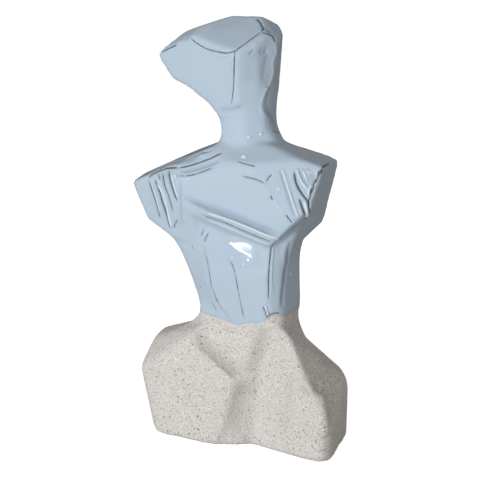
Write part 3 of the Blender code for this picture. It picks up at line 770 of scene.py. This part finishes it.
def shader_group(name, result, **numbers):
    """An empty shader group: a vector and named numbers go in, and one number comes out."""
    tree = bpy.data.node_groups.new(name, 'ShaderNodeTree')
    tree.interface.new_socket("Vector", in_out='INPUT', socket_type='NodeSocketVector')
    for title, value in numbers.items():
        number_input(tree, title, value)
    tree.interface.new_socket(result, in_out='OUTPUT', socket_type='NodeSocketFloat')
    return tree, tree.nodes.new('NodeGroupInput'), tree.nodes.new('NodeGroupOutput')


# %% Node groups for specks and clouds
def specks_group():
    """Round specks: one in some of the cells of a grid, each with its own size."""
    tree, into, out = shader_group("specks", "Mask", Cells=500.0, Share=0.4, Radius=0.3)
    cells = tree.nodes.new('ShaderNodeTexVoronoi')
    parts = tree.nodes.new('ShaderNodeSeparateColor')
    wired(tree, [(into.outputs["Vector"], cells.inputs["Vector"]),
                 (into.outputs["Cells"], cells.inputs["Scale"]),
                 (cells.outputs["Color"], parts.inputs[0])])
    chosen = maths(tree, 'LESS_THAN', parts.outputs[0], into.outputs["Share"])
    radius = maths(tree, 'MULTIPLY', into.outputs["Radius"], maths(tree, 'ADD', parts.outputs[1], 0.45))
    inner = maths(tree, 'MULTIPLY', radius, 0.6)
    outside = ramped(tree, cells.outputs["Distance"], inner, radius)
    mask = maths(tree, 'MULTIPLY', chosen, maths(tree, 'SUBTRACT', 1.0, outside))
    tree.links.new(mask, out.inputs["Mask"])
    return tree


def cloud_group():
    """A slow noise, centred on nought."""
    tree, into, out = shader_group("cloud", "Value", Scale=40.0, Detail=2.0)
    noise = tree.nodes.new('ShaderNodeTexNoise')
    wired(tree, [(into.outputs[name], noise.inputs[name]) for name in ("Vector", "Scale", "Detail")])
    tree.links.new(maths(tree, 'SUBTRACT', noise.outputs["Fac"], 0.5), out.inputs["Value"])
    return tree


SPECKS, CLOUD = specks_group(), cloud_group()
print("node groups:", SPECKS.name, "with", len(SPECKS.nodes), "nodes,", CLOUD.name, "with", len(CLOUD.nodes))


# %% Helpers for placing a group and mixing colours
def placed(tree, group, vector, **values):
    """A copy of a node group with its own values, and its result."""
    node = tree.nodes.new('ShaderNodeGroup')
    node.node_tree = group
    tree.links.new(vector, node.inputs["Vector"])
    for name, value in values.items():
        node.inputs[name].default_value = value
    return node.outputs[0]


def mixed(tree, share, first, second):
    """A colour between two, by a share."""
    node = tree.nodes.new('ShaderNodeMix')
    node.data_type = 'RGBA'
    first, second = (value if isinstance(value, bpy.types.NodeSocket) else (*value, 1.0)
                     for value in (first, second))
    filled(tree, node, ((0, share), (6, first), (7, second)))
    return node.outputs[2]


def tinted(tree, colour, amount, share, tint):
    """A colour with a share of a tint over it, wherever there is an amount of it."""
    return mixed(tree, maths(tree, 'MULTIPLY', amount, share), colour, tint)


def attribute(tree, name):
    """A number stored on the mesh's points."""
    node = tree.nodes.new('ShaderNodeAttribute')
    node.attribute_name = name
    return node.outputs["Fac"]


# %% [markdown]
# The stoneware is a warm off-white body with brown and grey grog in it, from dust to grains over a
# millimetre. Clouds of noise, cut off high, make the dust: fine brown, fine grey, pale flecks,
# larger soft blotches and sharp dark crumbs. Two sizes of round specks make the larger grains.
# Each tint is given as the share of it that covers the clay below, and its colour.

# %% The stoneware's colour
STONE_TONES = (0.700, 0.680, 0.658), (0.760, 0.745, 0.727)
# Painted shade: the bare clay is darkened in the wide dents, where shade falls.
HOLLOW_SHADE_TINT = 0.42, (0.430, 0.415, 0.395)
GRAIN_TINT = 0.95, (0.095, 0.078, 0.072)
LUMP_TINT = 0.85, (0.055, 0.047, 0.045)
DUST = (
    # scale, from, to, share, tint
    (800.0, 0.05, 0.12, 0.42, (0.330, 0.280, 0.240)),
    (950.0, 0.07, 0.14, 0.42, (0.290, 0.295, 0.305)),
    (700.0, -0.06, -0.13, 0.65, (0.930, 0.915, 0.890)),
    (230.0, 0.03, 0.13, 0.30, (0.600, 0.580, 0.565)),
    (520.0, 0.14, 0.17, 0.60, (0.180, 0.145, 0.120)),
)


def stone_colour(tree, where):
    """Off-white clay with dust, grains and lumps of grog, and painted shade in its hollows."""
    tone = placed(tree, CLOUD, where, Scale=28.0, Detail=3.0)
    colour = mixed(tree, maths(tree, 'ADD', tone, 0.5), *STONE_TONES)
    for scale, low, high, share, tint in DUST:
        dust = ramped(tree, placed(tree, CLOUD, where, Scale=scale, Detail=1.5), low, high)
        colour = tinted(tree, colour, dust, share, tint)
    # Painted shade in the hollows.
    colour = tinted(tree, colour, attribute(tree, "pool_and_shade"), *HOLLOW_SHADE_TINT)
    grains = placed(tree, SPECKS, where, Cells=300.0, Share=0.25, Radius=0.21)
    lumps = placed(tree, SPECKS, where, Cells=115.0, Share=0.22, Radius=0.11)
    return tinted(tree, tinted(tree, colour, grains, *GRAIN_TINT), lumps, *LUMP_TINT)


print("the clay has", len(DUST), "kinds of dust and two sizes of grains")

# %% [markdown]
# The glaze over the same clay is an opaque, pale steel blue. It is darker where it pools and in
# the bead at its lower edge. Painted shade darkens it in the dents, and a painted highlight lightens
# it on narrow ridges. Where it breaks, a grey halo and a dark line show. The line wanders and has
# gaps, because noise is added before it is cut to a width.

# %% The glaze's colour
GLAZE_TONES = (0.470, 0.590, 0.715), (0.520, 0.640, 0.760)
POOL_AND_SHADE_TINT = 0.62, (0.290, 0.380, 0.480)
BEAD_TINT = 0.30, (0.350, 0.460, 0.570)
CREST_HIGHLIGHT_TINT = 0.92, (0.790, 0.880, 0.960)
HALO_TINT = 0.28, (0.400, 0.440, 0.480)
LINE_TINT = 0.86, (0.095, 0.095, 0.098)
BREAK_GAIN, WANDER, GAPS = 1.45, 0.7, 0.7


def glaze_colour(tree, where):
    """Pale steel blue with pools, painted shade and painted highlights, broken to dark lines on edges."""
    tone = placed(tree, CLOUD, where, Scale=16.0, Detail=2.0)
    colour = mixed(tree, maths(tree, 'ADD', tone, 0.5), *GLAZE_TONES)
    # Pooled glaze in the grooves, and painted shade in the dents.
    colour = tinted(tree, colour, attribute(tree, "pool_and_shade"), *POOL_AND_SHADE_TINT)
    colour = tinted(tree, colour, ramped(tree, attribute(tree, "above_glaze_line"), 4.0, 0.4), *BEAD_TINT)
    # Painted highlight on narrow ridges and beads.
    colour = tinted(tree, colour, ramped(tree, attribute(tree, "crest_highlight"), 0.12, 0.62), *CREST_HIGHLIGHT_TINT)
    edge = maths(tree, 'MULTIPLY', attribute(tree, "breaks"), BREAK_GAIN)
    for scale, detail, gain in ((330.0, 2.0, WANDER), (95.0, 1.0, GAPS)):
        cloud = placed(tree, CLOUD, where, Scale=scale, Detail=detail)
        edge = maths(tree, 'ADD', edge, maths(tree, 'MULTIPLY', cloud, gain))
    shown = maths(tree, 'GREATER_THAN', attribute(tree, "breaks"), 0.06)
    for low, high, tint in ((0.30, 0.75, HALO_TINT), (0.50, 0.82, LINE_TINT)):
        mark = maths(tree, 'MULTIPLY', ramped(tree, edge, low, high), shown)
        colour = tinted(tree, colour, mark, *tint)
    return colour


print("glaze line:", LINE_TINT, "with a halo", HALO_TINT)

# %% [markdown]
# The mask is the height above the glaze line, roughened a little. It chooses the colour and also
# the roughness, matte below and like glass above. The bare clay gets a fine grit as a bump. The
# glaze gets a slow ripple, which fades out on the belly's calm place.

# %% One material for both finishes
MATTE, GLASSY = 0.80, 0.05
RELIEF = 0.4 * MM
RIPPLE = 0.12

clay.use_nodes = True
nodes = clay.node_tree
shader = nodes.nodes["Principled BSDF"]
shader.inputs["IOR"].default_value = 1.5
where = nodes.nodes.new('ShaderNodeTexCoord').outputs["Object"]
fringe = placed(nodes, CLOUD, where, Scale=420.0, Detail=2.0)
over = maths(nodes, 'ADD', attribute(nodes, "above_glaze_line"), maths(nodes, 'MULTIPLY', fringe, 0.8))
glazed = ramped(nodes, over, -0.35, 0.35)
nodes.links.new(mixed(nodes, glazed, stone_colour(nodes, where), glaze_colour(nodes, where)),
                shader.inputs["Base Color"])
rough = nodes.nodes.new('ShaderNodeMapRange')
nodes.links.new(glazed, rough.inputs["Value"])
rough.inputs["To Min"].default_value = MATTE
rough.inputs["To Max"].default_value = GLASSY
nodes.links.new(rough.outputs["Result"], shader.inputs["Roughness"])
bump = nodes.nodes.new('ShaderNodeBump')
bump.inputs["Distance"].default_value = RELIEF
grit = placed(nodes, CLOUD, where, Scale=900.0, Detail=3.0)
ripples = maths(nodes, 'MULTIPLY', placed(nodes, CLOUD, where, Scale=70.0, Detail=1.0),
                attribute(nodes, "unrest"))
bare = maths(nodes, 'SUBTRACT', 1.0, glazed)
relief = maths(nodes, 'ADD', maths(nodes, 'MULTIPLY', grit, bare),
               maths(nodes, 'MULTIPLY', maths(nodes, 'MULTIPLY', ripples, RIPPLE), glazed))
nodes.links.new(relief, bump.inputs["Height"])
nodes.links.new(bump.outputs["Normal"], shader.inputs["Normal"])
torso.data.materials.clear()
torso.data.materials.append(clay)
print("material:", clay.name, "with", len(nodes.nodes), "nodes")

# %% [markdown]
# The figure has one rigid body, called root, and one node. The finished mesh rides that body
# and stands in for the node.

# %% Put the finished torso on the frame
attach(torso, "root")
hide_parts(NODE)
print(torso.name, "stands in for", NODE)

# %% [markdown]
# The studio. The planes that face forward are the brightest, those that face up are darker, and
# the right side is darkest, so the main light is large, low, and a little to the left. Weak panels
# at both sides, behind and above fill the shadows. None of them shows in reflections, so only the
# window stands out in the glaze. The floor is pale, and meets a white surround.

# %% Floor and surround
FLOOR_RADIUS = 7.0
PAPER, PAPER_GLOW = (0.50, 0.49, 0.48), (0.90, 0.90, 0.90)
SHADOW_FILL = (0.27, 0.255, 0.24)


def floor():
    """A round, pale floor."""
    shape = bmesh.new()
    bmesh.ops.create_circle(shape, cap_ends=True, segments=96, radius=FLOOR_RADIUS)
    mesh = bpy.data.meshes.new("studio_floor")
    shape.to_mesh(mesh)
    shape.free()
    plate = linked("studio_floor", mesh)
    paper = bpy.data.materials.new("studio_paper")
    paper.use_nodes = True
    sheet = paper.node_tree.nodes["Principled BSDF"]
    sheet.inputs["Base Color"].default_value = (*PAPER, 1)
    sheet.inputs["Roughness"].default_value = 0.9
    sheet.inputs["Specular IOR Level"].default_value = 0.0
    sheet.inputs["Emission Strength"].default_value = 1.0
    seen = paper.node_tree.nodes.new('ShaderNodeLightPath').outputs["Is Camera Ray"]
    glow = mixed(paper.node_tree, seen, (0.0, 0.0, 0.0), PAPER_GLOW)
    paper.node_tree.links.new(glow, sheet.inputs["Emission Color"])
    plate.data.materials.append(paper)


def surround(fill):
    """A room that looks white and fills the shadows with a dimmer, warmer light."""
    world = bpy.data.worlds.new("surround")
    world.use_nodes = True
    seen = world.node_tree.nodes.new('ShaderNodeLightPath').outputs["Is Camera Ray"]
    colour = mixed(world.node_tree, seen, fill, (1.0, 1.0, 1.0))
    world.node_tree.links.new(colour, world.node_tree.nodes["Background"].inputs["Color"])
    bpy.context.scene.world = world


floor()
surround(SHADOW_FILL)
print("floor radius:", FLOOR_RADIUS, "m, under", bpy.context.scene.world.name)


# %% Lights
def area_light(name, turn, rise, distance, width, tall, power):
    """A panel that looks at the figure from a turn to the right of the front and a rise above it."""
    light = bpy.data.lights.new(name, 'AREA')
    light.shape = 'RECTANGLE'
    light.size, light.size_y = width, tall
    light.energy = power
    panel = bpy.data.objects.new(name, light)
    bpy.context.scene.collection.objects.link(panel)
    turn, rise = math.radians(turn), math.radians(rise)
    away = Vector((math.sin(turn) * math.cos(rise), -math.cos(turn) * math.cos(rise), math.sin(rise)))
    panel.location = Vector((0, 0, HEIGHT / 2)) + away * distance
    panel.rotation_euler = away.to_track_quat('Z', 'Y').to_euler()
    panel.visible_glossy = False
    return panel


SKY_TINT = (0.62, 0.86, 1.0)
area_light("key_panel", -6, 1, 1.9, 1.2, 1.0, 36.5)
area_light("side_bounce", 98, -2, 1.8, 1.2, 0.6, 4.2)
area_light("back_panel", 205, 0, 2.2, 1.4, 1.4, 7)
area_light("left_bounce", -80, 0, 1.8, 1.2, 0.8, 1.1)
area_light("sky", 0, 80, 1.8, 1.2, 1.2, 0.7).data.color = SKY_TINT
bpy.context.scene.view_settings.view_transform = 'Standard'

# %% [markdown]
# The window. A mirror shows a thing where the ray from the eye, turned back by the surface, meets
# it. So each corner of the highlight, as the picture shows it, is sent through the camera to the
# flat place, mirrored there, and followed for a little over a metre. Joined up, those ends are a
# pane whose reflection is the highlight. The glaze is bent at the rim of the flat place and
# shrinks the image there, so the outline is stretched first. The pane glows, and only reflections
# see it.

# %% The window that the belly mirrors
HIGHLIGHT = [(228.3, 237.1), (231.4, 237.1), (237.1, 239.3), (242.1, 242.1), (245, 245), (247.9, 244.3),
             (251.4, 245.7), (255.7, 247.4), (260, 248.6), (258.6, 250.7), (256.4, 252.9), (254.6, 254.6),
             (252.1, 252.9), (250, 250), (247.1, 248.3), (242.9, 247.9), (237.1, 246.4), (232.9, 244.3),
             (230, 242.1), (228.6, 239.3)]
STRETCH_LEFT, STRETCH_RIGHT, STRETCH_DOWN = 1.35, 1.9, 0.95
RAISED = 3
WINDOW_DISTANCE = 1.2
WINDOW_GLOW = 60


def stretched(corner):
    """A corner of the highlight, moved away from the middle of the calm place."""
    across, down = corner[0] - CALM_MIDDLE[0], corner[1] - CALM_MIDDLE[1]
    across *= STRETCH_LEFT if across < 0 else STRETCH_RIGHT
    return CALM_MIDDLE[0] + across, CALM_MIDDLE[1] - RAISED + down * STRETCH_DOWN


def mirrored_window():
    """A glowing pane, shaped so that its mirror image in the belly is the highlight."""
    corners = []
    for corner in HIGHLIGHT:
        ray = ray_through(stretched(corner))
        place = eye + ray * ((belly - eye).dot(belly_normal) / ray.dot(belly_normal))
        corners.append(place + (ray - 2 * ray.dot(belly_normal) * belly_normal) * WINDOW_DISTANCE)
    mesh = bpy.data.meshes.new("studio_window")
    mesh.from_pydata(corners, [], [list(range(len(corners)))])
    pane = linked("studio_window", mesh)
    glow = bpy.data.materials.new("studio_glow")
    glow.use_nodes = True
    face = glow.node_tree.nodes["Principled BSDF"]
    face.inputs["Base Color"].default_value = (0, 0, 0, 1)
    face.inputs["Emission Color"].default_value = (1, 1, 1, 1)
    face.inputs["Emission Strength"].default_value = WINDOW_GLOW
    mesh.materials.append(glow)
    pane.visible_camera = pane.visible_diffuse = pane.visible_shadow = False
    return np.array(corners)


window = mirrored_window()
print("window from", window.min(0).round(2).tolist(), "to", window.max(0).round(2).tolist())
